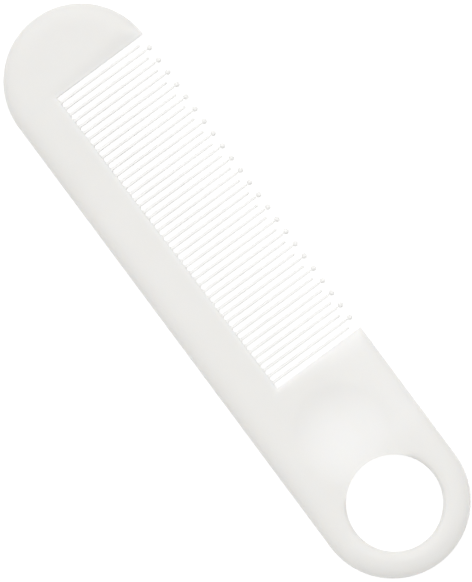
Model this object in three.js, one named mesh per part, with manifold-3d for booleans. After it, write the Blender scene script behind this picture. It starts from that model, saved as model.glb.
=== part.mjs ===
import * as THREE from 'three';
import { mergeVertices } from 'three/addons/utils/BufferGeometryUtils.js';
import Module from 'manifold-3d';

// A fine-tooth flea comb, moulded in one piece of off-white plastic. It lies on its back in millimetres:
// +X runs along the comb towards the finger ring, +Y towards the tooth tips and +Z out of the front face.
// The nodes are the regions of the one moulding, cut apart on flat planes: end guard, spine, handle,
// finger ring and every single tooth. Nothing on this comb turns or slides.

const wasm = await Module();
wasm.setup();

// Outline: a plate with two round ends.
const COMB_LENGTH = 133.7;
const COMB_WIDTH = 30.6;
const COMB_THICKNESS = 3.6;
const END_RADIUS = COMB_WIDTH / 2;
const END_CENTRE_X = COMB_LENGTH / 2 - END_RADIUS;

// Soft edges, front and back: how far in they reach and how far they drop. The outer edge is nearly a
// full round, and the edges beside the first and the last tooth are gentler.
const OUTER_EDGE = { reach: 3.2, drop: 1.5 };
const WINDOW_EDGE = { reach: 2.8, drop: 0.75 };
const EDGE_STEPS = 3;
const OUTLINE_STEPS = 10;

// The window that holds the teeth is open on the +Y side.
const WINDOW_START_X = -51.7;
const WINDOW_END_X = 20.25;
const ROOT_Y = -5.5;

// The handle ends and the finger ring begins at this plane.
const RING_START_X = 40;

// Finger hole through the ring, and the shallow thumb dish that runs into its near edge.
const HOLE_DIAMETER = 19.2;
const HOLE_CENTRE_X = 52.1;
const HOLE_SIDES = 36;
const DISH_CENTRE_X = 35;
const DISH_RADIUS = 10;
const DISH_DEPTH = 0.9;
const DISH_RINGS = 4;
const DISH_SIDES = 28;

// Teeth: every second one is longer and ends in a small ball, flush with the outline.
const TOOTH_COUNT = 47;
const TOOTH_PITCH = 1.505;
const FIRST_TOOTH_X = -50.4;
const TOOTH_SIDES = 8;
const ROOT_WIDTH = 0.5;
const ROOT_DEPTH = 2.8;
const TIP_WIDTH = 0.48;
const TIP_DEPTH = 0.85;
const TIP_ROUNDING = 0.2;
const PLAIN_TIP_Y = 13.5;
const BEAD_DIAMETER = 1;
const BEAD_STEPS = 5;
const NECK_WIDTH = 0.24;
const NECK_LENGTH = 0.6;

// Cutting blocks reach this far past the comb.
const CLEAR = 10;
const BLOCK_END_X = COMB_LENGTH / 2 + CLEAR;
const BLOCK_END_Y = COMB_WIDTH / 2 + CLEAR;

// Moulded plastic: the thin teeth let more light through and read a little paler.
function framePlastic() {
  return new THREE.MeshStandardMaterial({ color: 0xebe9e3, roughness: 0.5, metalness: 0 });
}

function toothPlastic() {
  return new THREE.MeshStandardMaterial({ color: 0xf3f2ee, roughness: 0.45, metalness: 0 });
}

// A three.js geometry as a solid that can be cut and joined.
function solid(geometry) {
  const bare = geometry.clone();
  bare.deleteAttribute('normal');
  bare.deleteAttribute('uv');
  const merged = mergeVertices(bare);
  const mesh = new wasm.Mesh({
    numProp: 3,
    vertProperties: new Float32Array(merged.attributes.position.array),
    triVerts: new Uint32Array(merged.index.array),
  });
  return new wasm.Manifold(mesh);
}

// The other way: a finished solid as a three.js geometry.
function geometryOf(manifold) {
  const mesh = manifold.getMesh();
  const geometry = new THREE.BufferGeometry();
  geometry.setAttribute('position', new THREE.BufferAttribute(mesh.vertProperties, 3));
  geometry.setIndex(new THREE.BufferAttribute(mesh.triVerts, 1));
  geometry.computeVertexNormals();
  return geometry;
}

// A plate of the comb's thickness with a soft edge all round, front and back.
function softPlate(outline, edge) {
  const geometry = new THREE.ExtrudeGeometry(outline, {
    depth: COMB_THICKNESS - 2 * edge.drop,
    bevelEnabled: true,
    bevelThickness: edge.drop,
    bevelSize: edge.reach,
    bevelOffset: -edge.reach,
    bevelSegments: EDGE_STEPS,
    curveSegments: OUTLINE_STEPS,
  });
  geometry.translate(0, 0, edge.drop);
  return solid(geometry);
}

function stadiumPlate() {
  const outline = new THREE.Shape();
  outline.absarc(-END_CENTRE_X, 0, END_RADIUS, Math.PI / 2, 1.5 * Math.PI);
  outline.absarc(END_CENTRE_X, 0, END_RADIUS, -Math.PI / 2, Math.PI / 2);
  return softPlate(outline, OUTER_EDGE);
}

function rectanglePlate(minX, maxX) {
  const outline = new THREE.Shape();
  outline.moveTo(minX, -BLOCK_END_Y);
  outline.lineTo(maxX, -BLOCK_END_Y);
  outline.lineTo(maxX, BLOCK_END_Y);
  outline.lineTo(minX, BLOCK_END_Y);
  return softPlate(outline, WINDOW_EDGE);
}

// Everything between two X planes and between two Y planes.
function slice(minX, maxX, minY, maxY) {
  const geometry = new THREE.BoxGeometry(maxX - minX, maxY - minY, COMB_THICKNESS + 2 * CLEAR);
  geometry.translate((minX + maxX) / 2, (minY + maxY) / 2, COMB_THICKNESS / 2);
  return solid(geometry);
}

function fingerHole() {
  const geometry = new THREE.CylinderGeometry(
    HOLE_DIAMETER / 2, HOLE_DIAMETER / 2, COMB_THICKNESS + 2 * CLEAR, HOLE_SIDES,
  );
  geometry.rotateX(Math.PI / 2);
  geometry.translate(HOLE_CENTRE_X, 0, COMB_THICKNESS / 2);
  return solid(geometry);
}

// The dish is the cap of a large ball, pressed into the front face.
function thumbDish() {
  const ballRadius = (DISH_RADIUS ** 2 + DISH_DEPTH ** 2) / (2 * DISH_DEPTH);
  const profile = [];
  for (let ring = 0; ring <= DISH_RINGS; ring += 1) {
    const reach = (DISH_RADIUS * ring) / DISH_RINGS;
    const height = ballRadius - Math.sqrt(ballRadius ** 2 - reach ** 2) - DISH_DEPTH;
    profile.push(new THREE.Vector2(reach, height));
  }
  profile.push(new THREE.Vector2(DISH_RADIUS, CLEAR));
  profile.push(new THREE.Vector2(0, CLEAR));
  const geometry = new THREE.LatheGeometry(profile, DISH_SIDES);
  geometry.rotateX(Math.PI / 2);
  geometry.translate(DISH_CENTRE_X, 0, COMB_THICKNESS);
  return solid(geometry);
}

// Rounded end plate in front of the first tooth, with a soft edge towards the teeth.
function endGuard(plate) {
  const besideTeeth = plate.intersect(rectanglePlate(-BLOCK_END_X, WINDOW_START_X));
  const besideSpine = plate.intersect(slice(-BLOCK_END_X, WINDOW_START_X, -BLOCK_END_Y, ROOT_Y));
  return besideTeeth.add(besideSpine);
}

// Straight bar that carries the teeth on its flat upper side.
function spine(plate) {
  return plate.intersect(slice(WINDOW_START_X, WINDOW_END_X, -BLOCK_END_Y, ROOT_Y));
}

// Grip between the teeth and the ring, with most of the thumb dish in its front.
function handle(plate) {
  const softEnded = plate.intersect(rectanglePlate(WINDOW_END_X, BLOCK_END_X));
  const besideTeeth = softEnded.intersect(slice(WINDOW_END_X, RING_START_X, -BLOCK_END_Y, BLOCK_END_Y));
  const besideSpine = plate.intersect(slice(WINDOW_END_X, RING_START_X, -BLOCK_END_Y, ROOT_Y));
  return besideTeeth.add(besideSpine).subtract(thumbDish());
}

// Round end with the finger hole, by which the comb also hangs.
function fingerRing(plate) {
  const roundEnd = plate.intersect(slice(RING_START_X, BLOCK_END_X, -BLOCK_END_Y, BLOCK_END_Y));
  return roundEnd.subtract(thumbDish()).subtract(fingerHole());
}

// A tooth stands along +Y. Each station gives its width along X and its depth along Z at one height.
function toothGeometry(stations) {
  const profile = stations.map((station) => new THREE.Vector2(station.width / 2, station.height));
  const geometry = new THREE.LatheGeometry(profile, TOOTH_SIDES);
  const position = geometry.attributes.position;
  for (let i = 0; i < position.count; i += 1) {
    const station = stations[i % stations.length];
    if (station.width > 0) {
      position.setZ(i, (position.getZ(i) * station.depth) / station.width);
    }
  }
  geometry.computeVertexNormals();
  return geometry;
}

function plainToothGeometry() {
  const height = PLAIN_TIP_Y - ROOT_Y;
  return toothGeometry([
    { height: 0, width: 0, depth: 0 },
    { height: 0, width: ROOT_WIDTH, depth: ROOT_DEPTH },
    { height: height - TIP_ROUNDING, width: TIP_WIDTH, depth: TIP_DEPTH },
    { height, width: TIP_WIDTH / 2, depth: TIP_DEPTH / 2 },
    { height, width: 0, depth: 0 },
  ]);
}

function beadToothGeometry() {
  const height = END_RADIUS - ROOT_Y;
  const radius = BEAD_DIAMETER / 2;
  const beadCentre = height - radius;
  const neckAngle = Math.asin(NECK_WIDTH / BEAD_DIAMETER);
  const stations = [
    { height: 0, width: 0, depth: 0 },
    { height: 0, width: ROOT_WIDTH, depth: ROOT_DEPTH },
    { height: beadCentre - radius - NECK_LENGTH, width: TIP_WIDTH, depth: TIP_DEPTH },
  ];
  for (let step = 0; step < BEAD_STEPS; step += 1) {
    const angle = neckAngle + ((Math.PI - neckAngle) * step) / BEAD_STEPS;
    const width = BEAD_DIAMETER * Math.sin(angle);
    stations.push({ height: beadCentre - radius * Math.cos(angle), width, depth: width });
  }
  stations.push({ height, width: 0, depth: 0 });
  return toothGeometry(stations);
}

function meshOf(name, geometry, material) {
  const mesh = new THREE.Mesh(geometry, material);
  mesh.name = name;
  return mesh;
}

function addFrame(group) {
  const plate = stadiumPlate();
  group.add(meshOf('end_guard', geometryOf(endGuard(plate)), framePlastic()));
  group.add(meshOf('spine', geometryOf(spine(plate)), framePlastic()));
  group.add(meshOf('handle', geometryOf(handle(plate)), framePlastic()));
  group.add(meshOf('finger_ring', geometryOf(fingerRing(plate)), framePlastic()));
}

function addTeeth(group) {
  for (let index = 0; index < TOOTH_COUNT; index += 1) {
    const beaded = index % 2 === 1;
    const kind = beaded ? 'bead_tooth_' : 'plain_tooth_';
    const name = kind + String(index).padStart(2, '0');
    const geometry = beaded ? beadToothGeometry() : plainToothGeometry();
    const tooth = meshOf(name, geometry, toothPlastic());
    tooth.position.set(FIRST_TOOTH_X + index * TOOTH_PITCH, ROOT_Y, COMB_THICKNESS / 2);
    group.add(tooth);
  }
}

const comb = new THREE.Group();
addFrame(comb);
addTeeth(comb);

export default comb;
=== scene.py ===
"""The looks of a one-piece moulded flea comb, built around its CAD frame.

The comb lies on its flat back: +X runs along it to the finger ring, +Y to the tooth tips and +Z out of its
front. Sizes are in millimetres and become metres where a mesh, a light or the camera is made.
"""

import math
import random

import bpy
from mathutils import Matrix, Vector, geometry, noise


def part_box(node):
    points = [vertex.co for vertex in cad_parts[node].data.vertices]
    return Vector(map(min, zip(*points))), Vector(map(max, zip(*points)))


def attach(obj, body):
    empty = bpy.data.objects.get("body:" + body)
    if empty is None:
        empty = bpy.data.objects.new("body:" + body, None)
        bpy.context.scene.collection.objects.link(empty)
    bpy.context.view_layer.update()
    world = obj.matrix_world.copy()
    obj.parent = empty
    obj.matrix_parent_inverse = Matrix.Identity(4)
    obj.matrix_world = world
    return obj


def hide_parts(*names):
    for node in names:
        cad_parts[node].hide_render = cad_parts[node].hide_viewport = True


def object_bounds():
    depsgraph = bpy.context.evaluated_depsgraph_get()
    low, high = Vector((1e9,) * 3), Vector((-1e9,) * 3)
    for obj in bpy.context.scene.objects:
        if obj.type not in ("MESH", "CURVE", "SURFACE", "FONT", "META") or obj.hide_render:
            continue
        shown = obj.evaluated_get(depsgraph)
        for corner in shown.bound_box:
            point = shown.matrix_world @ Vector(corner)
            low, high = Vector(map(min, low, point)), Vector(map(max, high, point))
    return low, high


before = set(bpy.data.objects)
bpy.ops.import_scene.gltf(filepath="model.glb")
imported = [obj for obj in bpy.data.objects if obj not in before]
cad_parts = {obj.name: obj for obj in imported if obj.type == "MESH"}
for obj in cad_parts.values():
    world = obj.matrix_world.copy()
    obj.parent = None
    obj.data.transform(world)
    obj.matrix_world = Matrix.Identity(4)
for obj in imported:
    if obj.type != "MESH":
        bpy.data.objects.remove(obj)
cad_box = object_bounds()

MM = 0.001
BODY = "root"


def box_mm(node):
    """Lowest and highest corner of a CAD node, in millimetres."""
    low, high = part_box(node)
    return [value / MM for value in low], [value / MM for value in high]


# ---------------------------------------------------------------- sizes that come from the frame
LENGTH = (cad_box[1][0] - cad_box[0][0]) / MM
WIDTH = (cad_box[1][1] - cad_box[0][1]) / MM
THICKNESS = (cad_box[1][2] - cad_box[0][2]) / MM
HALF = THICKNESS / 2
END_RADIUS = WIDTH / 2
END_CENTRE_X = LENGTH / 2 - END_RADIUS
WINDOW_START_X = box_mm("end_guard")[1][0]
WINDOW_END_X = box_mm("handle")[0][0]
ROOT_Y = box_mm("spine")[1][1]
# The teeth from the end guard to the handle, which is the order of the numbers that end their names.
TOOTH_NODES = sorted((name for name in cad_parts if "tooth" in name), key=lambda name: name[-2:])
TOOTH_X = [(box_mm(name)[0][0] + box_mm(name)[1][0]) / 2 for name in TOOTH_NODES]
TOOTH_PITCH = (TOOTH_X[-1] - TOOTH_X[0]) / (len(TOOTH_X) - 1)

# ---------------------------------------------------------------- the body's faces and edges
ROOT_SLOPE = 0.0096          # the row of gap floors rises a little towards the handle
EDGE_REACH = 4.0             # how far in the soft outer edge reaches
LAND = 0.1                   # straight band above and below the parting line
WINDOW_REACH = (1.7, 4.5)    # soft edges beside the first and last tooth: at the roots, and at the open side
WINDOW_DROP = (0.2, 1.0)     # they fall further where the teeth are thinner
CREST = 0.04                 # small radius where the edges turn down into the window
ROOT_EDGE_REACH = 1.2        # soft edge along the gap floors
ROOT_EDGE_DROP = 0.2
HOLE_X = 52.1
HOLE_RADIUS = 9.6
HOLE_EDGE_REACH = 2.1        # soft edge round the finger hole, all but on the dish's side
HOLE_EDGE_DROP = 0.36
HOLE_EDGE_CREST = 0.6
HOLE_EDGE_TURN = (-0.72, -0.45)  # crisp below the first cosine of the angle from +X, soft past the second
DISH_X = 35.0
DISH_RADIUS = 9.8
DISH_DEPTH = 0.92
DISH_BLEND = 0.1             # how softly the dish's rim rolls over
TAPER = 0.3                  # the handle gets this much thinner towards the tooth tips' side
TAPER_X = (45.0, 38.0)       # from nothing to the full amount, along the comb
TAPER_Y = (3.0, 9.5)         # and across it
WAVE_SPAN = (14, 9)          # size of the faint waves in the front, along and across the comb
WAVE_HEIGHT = 0.012
FLASH = 0.03                 # how proud the parting line's ridge stands
FLASH_HALF = 0.04            # half its height
BLEND_POWER = 4              # how sharply two edge roundings meet

# Round marks that the ejector pins leave in the back, and the spot where the plastic was fed in.
MARK_WALL = 0.04             # how wide the step down into a mark is
PIN_RADIUS = 1.6
PIN_DEPTH = 0.06
PIN_PLACES = [
    (-58.5, 0), (-38, -8.9), (-5, -8.9), (13, -8.9),
    (27, 6.5), (27, -6.5), (41.3, 8.8), (41.3, -8.8),
]
GATE_PLACE = (-22, -8.9)
GATE_RADIUS = 1.4
GATE_DEPTH = 0.12
GATE_STUB_RADIUS = 0.45
GATE_STUB = 0.09             # what is left of the sprue in the middle of the gate's recess

# Painted light: where the plate is thin, and close to the window's walls, the colour is made paler, standing
# in for the floor's light that shines through the plastic.
GLOW_ATTRIBUTE = "glow_share"        # point attribute: 0 where the plate is whole, 1 where the most is taken out
WALL_LIGHT = 0.7             # the window's walls let light in too, this much and this far
WALL_LIGHT_REACH = 1.2

# ---------------------------------------------------------------- how fine the body's net is
ON_LINE = 0.003              # points this near to a line count as lying on it
SAME_POINT = 0.002           # points of the net nearer than this become one
ARC_STEPS = 64               # on each round end
STRAIGHT_STEPS = 100         # on each long side
HOLE_STEPS = 120
DISH_STEPS = 96
PIN_STEPS = 48
GATE_STEPS = 40
STRAIGHT_SPACING = 0.8       # between the points of the straight lines at the window
OUTER_RINGS = 12             # lines across each rounding, closest together at the edge
CREST_RINGS = 2
WINDOW_RINGS = 9
ROOT_RINGS = 5
HOLE_RINGS = 6
RING_GAP = 0.03              # a wider rounding's lines start at least this far past a narrower one's
DISH_RINGS = (-4, -2.5, -1.5, -1, -0.5, 0, 0.5, 1, 1.8)  # lines round the dish, outwards from its rim
PAST_OUTLINE = 1             # how far the window's lines run past the outline
GRID_SPACING = 1.0           # loose points between the lines
GRID_SHAKE = 0.2
GRID_MARGIN = 0.3            # how far they keep from the outer edge's lines
GRID_SEED = 7

# ---------------------------------------------------------------- teeth
ROOT_WIDTH = 0.5
ROOT_DEPTH = 2.8
TIP_WIDTH = 0.49
TIP_DEPTH = 0.85
WEB_DEPTH = 3.15             # depth of the web between two teeth, where they leave the body
SUNK = 0.3                   # how far a tooth reaches into the body
BEAD_RADIUS = 0.54
NECK_WIDTH = 0.22
NECK_DEPTH = 0.6
NECK_LENGTH = 0.7
TIP_ROUNDING = 0.28          # height of the rounding on a plain tip
TIP_DEPTH_ROUNDING = 0.8     # how much of that rounding its depth takes part in
LEAN = 0.0087                # the teeth lean sideways by this much of their height
LEAN_SPREAD = 0.002
LEAN_SEED = 11

# Squareness of a section: 2 is an oval and 8 nearly a box.
WEB_SQUARENESS = 8
SHANK_SQUARENESS = 7
TIP_SQUARENESS = 2.2
BEAD_SQUARENESS = 2

SECTION_POINTS = 20
FILLET_STEPS = 8
TIP_STEPS = 5
BEAD_STEPS = 9
SHANK_SHARES = (0.15, 0.35, 0.6, 0.8)  # stations up the shank, as shares of its length
PLAIN_SHANK_END = 0.95
BEAD_SHANK_END = 1.0
NECK_SHARES = (0.35, 0.7, 1.0)

# ---------------------------------------------------------------- plastic
BODY_TONE = (0.835, 0.826, 0.805)
BODY_WARM_TONE = (0.815, 0.806, 0.78)
# Painted light: this paler colour where the plate is thin stands in for light shining through it.
BODY_THIN_GLOW_TONE = (0.89, 0.885, 0.87)
BODY_SUBSURFACE = 0.3
# Painted light: the teeth are the body's plastic, coloured paler to stand in for light that shines through
# them where they are thin.
TOOTH_GLOW_TONE = (0.93, 0.925, 0.905)
TOOTH_WARM_GLOW_TONE = (0.91, 0.905, 0.885)
TOOTH_SUBSURFACE = 0.0
SUBSURFACE_REACH = 0.8       # how far light travels in the plastic
SUBSURFACE_COLOURS = (1.0, 0.9, 0.75)  # red light travels furthest in it
REFRACTION = 1.49
ROUGHNESS = 0.4
ROUGHNESS_SPREAD = 0.06
CLOUD_SCALE = 110            # noise scales are per metre
CLOUD_DETAIL = 6
GRAIN_SCALE = 2600
GRAIN_DETAIL = 3
GRAIN_DEPTH = 0.02           # of the fine bump
GRAIN_STRENGTH = 0.35
BODY_SMOOTH_ANGLE = 40       # edges sharper than this many degrees stay crisp
TOOTH_SMOOTH_ANGLE = 50

# ---------------------------------------------------------------- camera, floor and light
CAMERA_DISTANCE = 1600.0
VIEW_HEIGHT = 114.77         # what the view's height spans at the comb's middle plane
VIEW_TURN = math.radians(53.39)  # the comb lies turned in the view
VIEW_CENTRE = (-0.20, 0.01)  # the view's centre, right and up of the comb's centre
SENSOR_HEIGHT = 24.0
CLIP = (10, 20000)           # the nearest and the furthest that the camera sees
FLOOR_REACH = 3000           # from its middle to each side
FLOOR_GAP = 0.05             # keeps the floor's face apart from the comb's back
FLOOR_TONE = 0.3
FLOOR_ROUGHNESS = 0.9
FLOOR_GLOW = 0.78

# The sky is one broad soft light, high up and a little to the end guard's side, and it fades to the horizon.
SKY_TOWARDS = Vector((-0.265, 0.125, 0.956))
SKY_HORIZON = 0.42
SKY_TOP = 1.84
SKY_FADE = (0.5, 1.0)        # cosine of the angle from its middle: where it ends, and its middle


# ---------------------------------------------------------------- small helpers
def new_object(name, vertices_mm, faces, smooth_angle):
    """A smooth-shaded mesh object from millimetre points, with edges sharper than smooth_angle kept crisp."""
    mesh = bpy.data.meshes.new(name)
    mesh.from_pydata([(x * MM, y * MM, z * MM) for x, y, z in vertices_mm], [], faces)
    mesh.validate()
    mesh.polygons.foreach_set("use_smooth", [True] * len(mesh.polygons))
    mesh.set_sharp_from_angle(angle=math.radians(smooth_angle))
    obj = bpy.data.objects.new(name, mesh)
    bpy.context.scene.collection.objects.link(obj)
    return obj


def mix(start, end, amount):
    return start + (end - start) * amount


def ease(start, end, value):
    """0 at start and 1 at end, with a soft beginning and a soft stop."""
    share = min(1.0, max(0.0, (value - start) / (end - start)))
    return share * share * (3 - 2 * share)


def quarter_round(distance, radius):
    """Drop of a rounded edge: full radius at distance 0, nothing from the radius inwards."""
    if distance >= radius:
        return 0.0
    return radius - math.sqrt(max(0.0, radius ** 2 - (radius - distance) ** 2))


def arc_distances(reach, steps):
    """Distances from an edge at which a rounded profile gets its lines, closest together at the edge."""
    return [reach * (1 - math.cos(math.pi / 2 * step / steps)) for step in range(steps + 1)]


def nested_distances(*roundings):
    """The lines of several roundings of one edge, each as (reach, steps) and the narrowest first."""
    distances = []
    for reach, steps in roundings:
        start = distances[-1] + RING_GAP if distances else 0
        distances += [distance for distance in arc_distances(reach, steps) if distance >= start]
    return distances


# ---------------------------------------------------------------- where the body is
def root_line(x):
    middle = (WINDOW_START_X + WINDOW_END_X) / 2
    return ROOT_Y + ROOT_SLOPE * (x - middle)


def outline_depth(x, y):
    """Distance inside the outer outline, negative outside it."""
    along = min(max(x, -END_CENTRE_X), END_CENTRE_X)
    return END_RADIUS - math.hypot(x - along, y)


def in_window(x, y):
    return WINDOW_START_X < x < WINDOW_END_X and y > root_line(x)


def hole_distance(x, y):
    return math.hypot(x - HOLE_X, y) - HOLE_RADIUS


def in_body(x, y):
    return outline_depth(x, y) > 0 and not in_window(x, y) and hole_distance(x, y) > 0


def window_side_distance(x, y):
    """Distance outside the walls beside the first and the last tooth."""
    beyond = max(WINDOW_START_X - x, x - WINDOW_END_X)
    if beyond < -ON_LINE:
        return math.inf
    return math.hypot(max(beyond, 0.0), max(root_line(x) - y, 0.0))


def root_distance(x, y):
    """Distance below the row of gap floors."""
    beyond = max(WINDOW_START_X - x, x - WINDOW_END_X, 0.0)
    return math.hypot(beyond, max(root_line(x) - y, 0.0))


def window_share(x, y):
    """0 at the gap floors, 1 at the open side of the window."""
    root = root_line(x)
    return min(1.0, max(0.0, (y - root) / (END_RADIUS - root)))


# ---------------------------------------------------------------- how far its faces drop
def outer_drop(x, y):
    inward = max(0.0, 1 - outline_depth(x, y) / EDGE_REACH)
    tall = HALF - LAND
    return tall * (1 - math.sqrt(max(0.0, 1 - inward ** 2)))


def window_side_drop(x, y):
    distance = window_side_distance(x, y)
    share = window_share(x, y)
    reach = mix(*WINDOW_REACH, share)
    if distance >= reach:
        return 0.0
    return mix(*WINDOW_DROP, share) * (1 - distance / reach) ** 2 + quarter_round(distance, CREST)


def root_drop(x, y):
    distance = root_distance(x, y)
    slope = ROOT_EDGE_DROP * max(0.0, 1 - distance / ROOT_EDGE_REACH) ** 2
    return slope + quarter_round(distance, CREST)


def hole_drop(x, y):
    distance = hole_distance(x, y)
    slope = HOLE_EDGE_DROP * max(0.0, 1 - distance / HOLE_EDGE_REACH) ** 2
    soft = slope + quarter_round(distance, HOLE_EDGE_CREST)
    cosine = (x - HOLE_X) / (HOLE_RADIUS + distance)
    return mix(quarter_round(distance, CREST), soft, ease(*HOLE_EDGE_TURN, cosine))


def dish_drop(x, y):
    cap = DISH_DEPTH * (1 - ((x - DISH_X) ** 2 + y ** 2) / DISH_RADIUS ** 2)
    return (cap + math.hypot(cap, DISH_BLEND)) / 2


def handle_taper(x, y):
    if x < WINDOW_END_X - ON_LINE:
        return 0.0
    return TAPER * ease(*TAPER_X, x) * ease(*TAPER_Y, y)


def waviness(x, y):
    """The faint long unevenness of a moulded face that shrank as it cooled."""
    return WAVE_HEIGHT * noise.noise(Vector((x / WAVE_SPAN[0], y / WAVE_SPAN[1], 0)))


def round_step(distance, radius, depth):
    return depth * min(1.0, max(0.0, (radius - distance) / MARK_WALL))


def witness_drop(x, y):
    """The pin marks, and the gate's recess with its stub."""
    drop = 0.0
    for pin_x, pin_y in PIN_PLACES:
        drop += round_step(math.hypot(x - pin_x, y - pin_y), PIN_RADIUS, PIN_DEPTH)
    from_gate = math.hypot(x - GATE_PLACE[0], y - GATE_PLACE[1])
    drop += round_step(from_gate, GATE_RADIUS, GATE_DEPTH)
    drop -= round_step(from_gate, GATE_STUB_RADIUS, GATE_STUB)
    return drop


def edge_drops(x, y):
    return [outer_drop(x, y), window_side_drop(x, y), root_drop(x, y), hole_drop(x, y)]


def blended(drops):
    return sum(drop ** BLEND_POWER for drop in drops) ** (1 / BLEND_POWER)


def front_height(x, y):
    drop = blended([*edge_drops(x, y), dish_drop(x, y)]) + handle_taper(x, y)
    return HALF + max(LAND, HALF - drop + waviness(x, y))


def back_height(x, y):
    drop = blended(edge_drops(x, y)) + witness_drop(x, y)
    return HALF - max(LAND, HALF - drop)


# Share of painted light at a point, standing in for light shining through thin plastic: more where the plate
# is thinner, and close to the window's walls.
def glow_share(x, y):
    taken = dish_drop(x, y) + window_side_drop(x, y) + root_drop(x, y) + handle_taper(x, y)
    # Painted light beside the window, standing in for light that comes in through its walls.
    beside_window = WALL_LIGHT * max(0.0, 1 - root_distance(x, y) / WALL_LIGHT_REACH) ** 2
    return min(1.0, taken / DISH_DEPTH + beside_window)


# ---------------------------------------------------------------- the net of lines the surface hangs on
def stadium(depth):
    """The outer outline, moved in by depth."""
    radius = END_RADIUS - depth
    points = []
    for end in (1, -1):
        for step in range(ARC_STEPS):
            angle = math.pi * (step / ARC_STEPS - 0.5) + (0 if end == 1 else math.pi)
            points.append((end * END_CENTRE_X + radius * math.cos(angle), radius * math.sin(angle)))
        for step in range(STRAIGHT_STEPS):
            along = END_CENTRE_X - 2 * END_CENTRE_X * step / STRAIGHT_STEPS
            points.append((end * along, end * radius))
    return points


def ring(centre_x, centre_y, radius, steps):
    points = []
    for step in range(steps):
        angle = 2 * math.pi * step / steps
        points.append((centre_x + radius * math.cos(angle), centre_y + radius * math.sin(angle)))
    return points


def straight(start, end):
    steps = max(1, round(math.dist(start, end) / STRAIGHT_SPACING))
    return [
        (start[0] + (end[0] - start[0]) * step / steps, start[1] + (end[1] - start[1]) * step / steps)
        for step in range(steps + 1)
    ]


def closed_lines():
    """Along the outer edge, round the hole and the dish, and round the marks in the back."""
    hole_gaps = nested_distances(
        (CREST, CREST_RINGS), (HOLE_EDGE_CREST, HOLE_RINGS), (HOLE_EDGE_REACH, HOLE_RINGS)
    )
    lines = [stadium(depth) for depth in arc_distances(EDGE_REACH, OUTER_RINGS)]
    lines += [ring(HOLE_X, 0, HOLE_RADIUS + gap, HOLE_STEPS) for gap in hole_gaps]
    lines += [ring(DISH_X, 0, DISH_RADIUS + gap, DISH_STEPS) for gap in DISH_RINGS]
    for place in PIN_PLACES:
        lines += [ring(*place, PIN_RADIUS - gap, PIN_STEPS) for gap in (0, MARK_WALL)]
    for radius in (GATE_RADIUS, GATE_STUB_RADIUS):
        lines += [ring(*GATE_PLACE, radius - gap, GATE_STEPS) for gap in (0, MARK_WALL)]
    return lines


def open_lines():
    """Beside the window's two walls and below the gap floors."""
    top = END_RADIUS + PAST_OUTLINE
    lines = []
    for edge, outward in ((WINDOW_START_X, -1), (WINDOW_END_X, 1)):
        root = root_line(edge)
        for gap in arc_distances(CREST, CREST_RINGS):
            x = edge + outward * gap
            lines.append(straight((x, root), (x, top)))
        for share in arc_distances(1, WINDOW_RINGS):
            low_gap, high_gap = (share * reach for reach in WINDOW_REACH)
            if low_gap > CREST + RING_GAP:
                lines.append(straight((edge + outward * low_gap, root), (edge + outward * high_gap, top)))
    for gap in nested_distances((CREST, CREST_RINGS), (ROOT_EDGE_REACH, ROOT_RINGS)):
        start = (WINDOW_START_X, root_line(WINDOW_START_X) - gap)
        end = (WINDOW_END_X, root_line(WINDOW_END_X) - gap)
        lines.append(straight(start, end))
    return lines


def loose_points():
    """A slightly shaken grid that fills the faces between the lines."""
    shake = random.Random(GRID_SEED)
    points = []
    for column in range(int(LENGTH / GRID_SPACING)):
        for row in range(int(WIDTH / GRID_SPACING)):
            x = -LENGTH / 2 + (column + 0.5 + shake.uniform(-GRID_SHAKE, GRID_SHAKE)) * GRID_SPACING
            y = -WIDTH / 2 + (row + 0.5 + shake.uniform(-GRID_SHAKE, GRID_SHAKE)) * GRID_SPACING
            if in_body(x, y) and outline_depth(x, y) > EDGE_REACH + GRID_MARGIN:
                points.append((x, y))
    return points


def flat_net():
    """Triangles in the XY plane that fill the body's outline and follow every line."""
    points = loose_points()
    edges = []
    for line, closed in [(line, True) for line in closed_lines()] + [(line, False) for line in open_lines()]:
        first = len(points)
        points += line
        edges += [(first + step, first + step + 1) for step in range(len(line) - 1)]
        if closed:
            edges.append((first + len(line) - 1, first))
    flat = [Vector(point) for point in points]
    vertices, _, faces, _, _, _ = geometry.delaunay_2d_cdt(flat, edges, [], 0, SAME_POINT)
    kept = []
    for face in faces:
        x = sum(vertices[corner].x for corner in face) / len(face)
        y = sum(vertices[corner].y for corner in face) / len(face)
        if in_body(x, y):
            kept.append(tuple(face))
    used = sorted({corner for face in kept for corner in face})
    place = {corner: index for index, corner in enumerate(used)}
    net = [(vertices[corner].x, vertices[corner].y) for corner in used]
    return net, [tuple(place[corner] for corner in face) for face in kept]


def border_edges(faces):
    """Directed edges that belong to one face only: the outline, the window and the hole."""
    directed = [edge for face in faces for edge in zip(face, face[1:] + face[:1])]
    seen = set(directed)
    return [(start, end) for start, end in directed if (end, start) not in seen]


def border_normals(net, border):
    """Outward direction in the plane at every border point."""
    normals = {}
    for start, end in border:
        along = Vector(net[end]) - Vector(net[start])
        outward = Vector((along.y, -along.x)).normalized()
        for corner in (start, end):
            normals[corner] = normals.get(corner, Vector((0, 0))) + outward
    return {corner: normal.normalized() for corner, normal in normals.items()}


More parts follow.
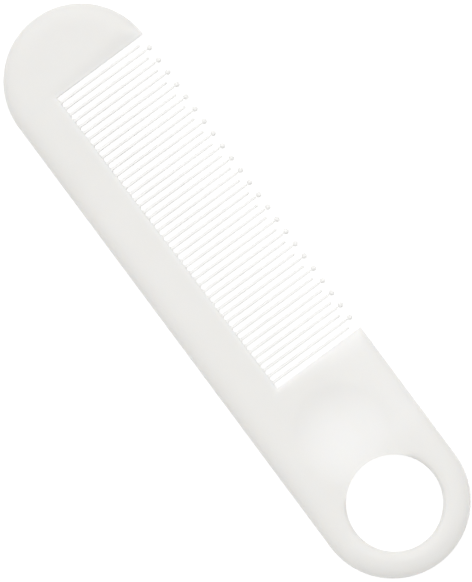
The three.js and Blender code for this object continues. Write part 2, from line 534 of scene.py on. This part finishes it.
def make_body():
    """One closed skin: front, back, and walls between them that carry the parting line's fine ridge."""
    net, faces = flat_net()
    count = len(net)
    vertices = [(x, y, front_height(x, y)) for x, y in net]
    vertices += [(x, y, back_height(x, y)) for x, y in net]
    skin = list(faces)
    skin += [tuple(corner + count for corner in reversed(face)) for face in faces]
    border = border_edges(faces)
    wall_rows = ((FLASH_HALF, 0.0), (0.0, FLASH), (-FLASH_HALF, 0.0))
    columns = {}
    for corner, normal in border_normals(net, border).items():
        x, y = net[corner]
        column = [corner]
        for height, proud in wall_rows:
            column.append(len(vertices))
            vertices.append((x + normal.x * proud, y + normal.y * proud, HALF + height))
        column.append(corner + count)
        columns[corner] = column
    for start, end in border:
        left, right = columns[start], columns[end]
        for row in range(len(left) - 1):
            skin.append((left[row], left[row + 1], right[row + 1], right[row]))
    body = new_object("comb_body", vertices, skin, BODY_SMOOTH_ANGLE)
    # Each point's share of painted light, which stands in for light shining through thin plastic.
    thin = body.data.attributes.new(GLOW_ATTRIBUTE, "FLOAT", "POINT")
    thin.data.foreach_set("value", [glow_share(x, y) for x, y, z in vertices])
    return body


# ---------------------------------------------------------------- teeth
# A tooth is skinned over stations, each with its height, width, depth and squareness.
def shank_size(share):
    return mix(ROOT_WIDTH, TIP_WIDTH, share), mix(ROOT_DEPTH, TIP_DEPTH, share)


def root_stations(floor, length):
    """The flare: two quarter-round fillets that make half of the rounded gap floor on each side."""
    radius = (TOOTH_PITCH - ROOT_WIDTH) / 2
    shank_depth = shank_size(radius / length)[1]
    stations = [(floor - SUNK, TOOTH_PITCH, WEB_DEPTH, WEB_SQUARENESS)]
    for step in range(FILLET_STEPS + 1):
        share = step / FILLET_STEPS
        angle = math.pi / 2 * step / FILLET_STEPS
        height = floor + radius * (1 - math.cos(angle))
        width = TOOTH_PITCH - 2 * radius * math.sin(angle)
        depth = mix(WEB_DEPTH, shank_depth, share)
        stations.append((height, width, depth, mix(WEB_SQUARENESS, SHANK_SQUARENESS, share)))
    return stations


def shank_stations(floor, length, end_share):
    return [
        (floor + length * share, *shank_size(share), SHANK_SQUARENESS)
        for share in (*SHANK_SHARES, end_share)
    ]


def plain_stations(floor, tip):
    length = tip - floor
    stations = root_stations(floor, length) + shank_stations(floor, length, PLAIN_SHANK_END)
    for step in range(TIP_STEPS):
        angle = math.pi / 2 * step / TIP_STEPS
        size = math.cos(angle)
        height = tip - TIP_ROUNDING + TIP_ROUNDING * math.sin(angle)
        depth = TIP_DEPTH * mix(1, size, TIP_DEPTH_ROUNDING)
        stations.append((height, TIP_WIDTH * size, depth, TIP_SQUARENESS))
    return stations


def bead_stations(floor, tip):
    centre = tip - BEAD_RADIUS
    neck = centre - BEAD_RADIUS
    length = neck - NECK_LENGTH - floor
    stations = root_stations(floor, length) + shank_stations(floor, length, BEAD_SHANK_END)
    for share in NECK_SHARES:
        narrowed = ease(0, 1, share)
        height = neck - NECK_LENGTH * (1 - share)
        width = mix(TIP_WIDTH, NECK_WIDTH, narrowed)
        stations.append((height, width, mix(TIP_DEPTH, NECK_DEPTH, narrowed), TIP_SQUARENESS))
    start_angle = math.asin(NECK_WIDTH / 2 / BEAD_RADIUS)
    for step in range(BEAD_STEPS):
        angle = mix(start_angle, math.pi, step / BEAD_STEPS)
        width = 2 * BEAD_RADIUS * math.sin(angle)
        depth = max(width, NECK_DEPTH) if angle < math.pi / 2 else width
        stations.append((centre - BEAD_RADIUS * math.cos(angle), width, depth, BEAD_SQUARENESS))
    return stations


def section(width, depth, squareness):
    """A closed section of a tooth, as points in X and Z."""
    points = []
    for step in range(SECTION_POINTS):
        angle = 2 * math.pi * step / SECTION_POINTS
        cosine, sine = math.cos(angle), math.sin(angle)
        x = math.copysign(abs(cosine) ** (2 / squareness), cosine) * width / 2
        z = math.copysign(abs(sine) ** (2 / squareness), sine) * depth / 2
        points.append((x, z))
    return points


def make_tooth(name, x, stations, end_y, lean):
    """Skins a tooth from its stations and closes both ends, the upper one in a point at end_y."""
    vertices = []
    start_y = stations[0][0]
    for height, width, depth, squareness in stations:
        shift = lean * (height - start_y)
        vertices += [(x + shift + px, height, HALF + pz) for px, pz in section(width, depth, squareness)]
    faces = []
    for row in range(len(stations) - 1):
        low = row * SECTION_POINTS
        high = low + SECTION_POINTS
        for step in range(SECTION_POINTS):
            after = (step + 1) % SECTION_POINTS
            faces.append((low + step, high + step, high + after, low + after))
    faces.append(tuple(range(SECTION_POINTS)))
    last = (len(stations) - 1) * SECTION_POINTS
    vertices.append((x + lean * (end_y - start_y), end_y, HALF))
    tip = len(vertices) - 1
    for step in range(SECTION_POINTS):
        after = (step + 1) % SECTION_POINTS
        faces.append((last + step, tip, last + after))
    return new_object(name, vertices, faces, TOOTH_SMOOTH_ANGLE)


def make_teeth():
    teeth = []
    vary = random.Random(LEAN_SEED)
    for node, x in zip(TOOTH_NODES, TOOTH_X):
        floor = root_line(x)
        tip = box_mm(node)[1][1]
        build = bead_stations if node.startswith("bead") else plain_stations
        lean = LEAN + vary.uniform(-LEAN_SPREAD, LEAN_SPREAD)
        middle = (tip - floor) / 2
        tooth = make_tooth(node + "_shape", x - lean * middle, build(floor, tip), tip, lean)
        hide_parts(node)
        teeth.append(tooth)
    return teeth


# ---------------------------------------------------------------- plastic
def noise_texture(tree, place, scale, detail):
    texture = tree.nodes.new("ShaderNodeTexNoise")
    texture.inputs["Scale"].default_value = scale
    texture.inputs["Detail"].default_value = detail
    tree.links.new(place, texture.inputs["Vector"])
    return texture.outputs["Fac"]


def colour_mix(tree, amount, second):
    """A node that goes from its first colour, set or linked by the caller, to the second one."""
    colour = tree.nodes.new("ShaderNodeMix")
    colour.data_type = "RGBA"
    colour.inputs["B"].default_value = (*second, 1)
    tree.links.new(amount, colour.inputs["Factor"])
    return colour


def plastic(name, tone, warm_tone, subsurface, glow_tone=None):
    """Off-white moulded plastic: cloudy colour, made paler by painted light where it is thin, with a satin,
    finely grained skin.
    """
    material = bpy.data.materials.new(name)
    material.use_nodes = True
    tree = material.node_tree
    tree.nodes.clear()
    output = tree.nodes.new("ShaderNodeOutputMaterial")
    shader = tree.nodes.new("ShaderNodeBsdfPrincipled")
    tree.links.new(shader.outputs["BSDF"], output.inputs["Surface"])
    shader.inputs["IOR"].default_value = REFRACTION
    shader.inputs["Subsurface Weight"].default_value = subsurface
    shader.inputs["Subsurface Radius"].default_value = SUBSURFACE_COLOURS
    shader.inputs["Subsurface Scale"].default_value = SUBSURFACE_REACH * MM
    place = tree.nodes.new("ShaderNodeTexCoord").outputs["Object"]

    clouds = noise_texture(tree, place, CLOUD_SCALE, CLOUD_DETAIL)
    colour = colour_mix(tree, clouds, warm_tone)
    colour.inputs["A"].default_value = (*tone, 1)
    if glow_tone:
        # Painted light: the colour turns paler where the plate is thin, standing in for light shining through
        # it.
        attribute = tree.nodes.new("ShaderNodeAttribute")
        attribute.attribute_name = GLOW_ATTRIBUTE
        paler = colour_mix(tree, attribute.outputs["Fac"], glow_tone)
        tree.links.new(colour.outputs["Result"], paler.inputs["A"])
        colour = paler
    tree.links.new(colour.outputs["Result"], shader.inputs["Base Color"])

    skin = tree.nodes.new("ShaderNodeMapRange")
    skin.inputs["To Min"].default_value = ROUGHNESS - ROUGHNESS_SPREAD
    skin.inputs["To Max"].default_value = ROUGHNESS + ROUGHNESS_SPREAD
    tree.links.new(clouds, skin.inputs["Value"])
    tree.links.new(skin.outputs["Result"], shader.inputs["Roughness"])

    bump = tree.nodes.new("ShaderNodeBump")
    bump.inputs["Strength"].default_value = GRAIN_STRENGTH
    bump.inputs["Distance"].default_value = GRAIN_DEPTH * MM
    tree.links.new(noise_texture(tree, place, GRAIN_SCALE, GRAIN_DETAIL), bump.inputs["Height"])
    tree.links.new(bump.outputs["Normal"], shader.inputs["Normal"])
    return material


# ---------------------------------------------------------------- camera, floor and light
def make_camera():
    """Looks straight down on the comb from far away."""
    data = bpy.data.cameras.new("camera")
    data.sensor_fit = "VERTICAL"
    data.sensor_height = SENSOR_HEIGHT
    data.lens = SENSOR_HEIGHT * CAMERA_DISTANCE / VIEW_HEIGHT
    data.clip_start = CLIP[0] * MM
    data.clip_end = CLIP[1] * MM
    camera = bpy.data.objects.new("camera", data)
    right = Vector((math.cos(VIEW_TURN), math.sin(VIEW_TURN), 0))
    up = Vector((-math.sin(VIEW_TURN), math.cos(VIEW_TURN), 0))
    place = right * VIEW_CENTRE[0] + up * VIEW_CENTRE[1] + Vector((0, 0, HALF + CAMERA_DISTANCE))
    camera.location = place * MM
    camera.rotation_euler = (0, 0, VIEW_TURN)
    bpy.context.scene.collection.objects.link(camera)
    bpy.context.scene.camera = camera
    bpy.context.scene.view_settings.view_transform = "Standard"


def make_floor():
    """A pale sheet with a little light of its own behind it, as on a light table."""
    size = FLOOR_REACH * MM
    corners = [(-size, -size), (size, -size), (size, size), (-size, size)]
    mesh = bpy.data.meshes.new("floor")
    mesh.from_pydata([(x, y, -FLOOR_GAP * MM) for x, y in corners], [], [(0, 1, 2, 3)])
    floor = bpy.data.objects.new("floor", mesh)
    bpy.context.scene.collection.objects.link(floor)
    material = bpy.data.materials.new("floor")
    material.use_nodes = True
    shader = material.node_tree.nodes["Principled BSDF"]
    shader.inputs["Base Color"].default_value = (FLOOR_TONE, FLOOR_TONE, FLOOR_TONE, 1)
    shader.inputs["Roughness"].default_value = FLOOR_ROUGHNESS
    shader.inputs["Emission Color"].default_value = (1, 1, 1, 1)
    shader.inputs["Emission Strength"].default_value = FLOOR_GLOW
    mesh.materials.append(material)


def make_light():
    """The sky, as a background that is brightest where it faces SKY_TOWARDS."""
    world = bpy.data.worlds.new("world")
    world.use_nodes = True
    nodes = world.node_tree.nodes
    links = world.node_tree.links
    direction = nodes.new("ShaderNodeTexCoord").outputs["Generated"]
    facing = nodes.new("ShaderNodeVectorMath")
    facing.operation = "DOT_PRODUCT"
    facing.inputs[1].default_value = SKY_TOWARDS
    links.new(direction, facing.inputs[0])
    fade = nodes.new("ShaderNodeMapRange")
    fade.interpolation_type = "SMOOTHSTEP"
    fade.inputs["From Min"].default_value = SKY_FADE[0]
    fade.inputs["From Max"].default_value = SKY_FADE[1]
    fade.inputs["To Min"].default_value = SKY_HORIZON
    fade.inputs["To Max"].default_value = SKY_TOP
    links.new(facing.outputs["Value"], fade.inputs["Value"])
    background = nodes["Background"]
    background.inputs["Color"].default_value = (1, 1, 1, 1)
    links.new(fade.outputs["Result"], background.inputs["Strength"])
    bpy.context.scene.world = world


# ---------------------------------------------------------------- the scene
make_camera()
make_floor()
make_light()

body_plastic = plastic("frame_plastic_look", BODY_TONE, BODY_WARM_TONE, BODY_SUBSURFACE, BODY_THIN_GLOW_TONE)
# The teeth's paler colour is painted light, standing in for light shining through thin plastic.
tooth_plastic = plastic("tooth_plastic_glow_look", TOOTH_GLOW_TONE, TOOTH_WARM_GLOW_TONE, TOOTH_SUBSURFACE)

body = make_body()
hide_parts("end_guard", "spine", "handle", "finger_ring")
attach(body, BODY)
body.data.materials.append(body_plastic)

for tooth in make_teeth():
    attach(tooth, BODY)
    tooth.data.materials.append(tooth_plastic)
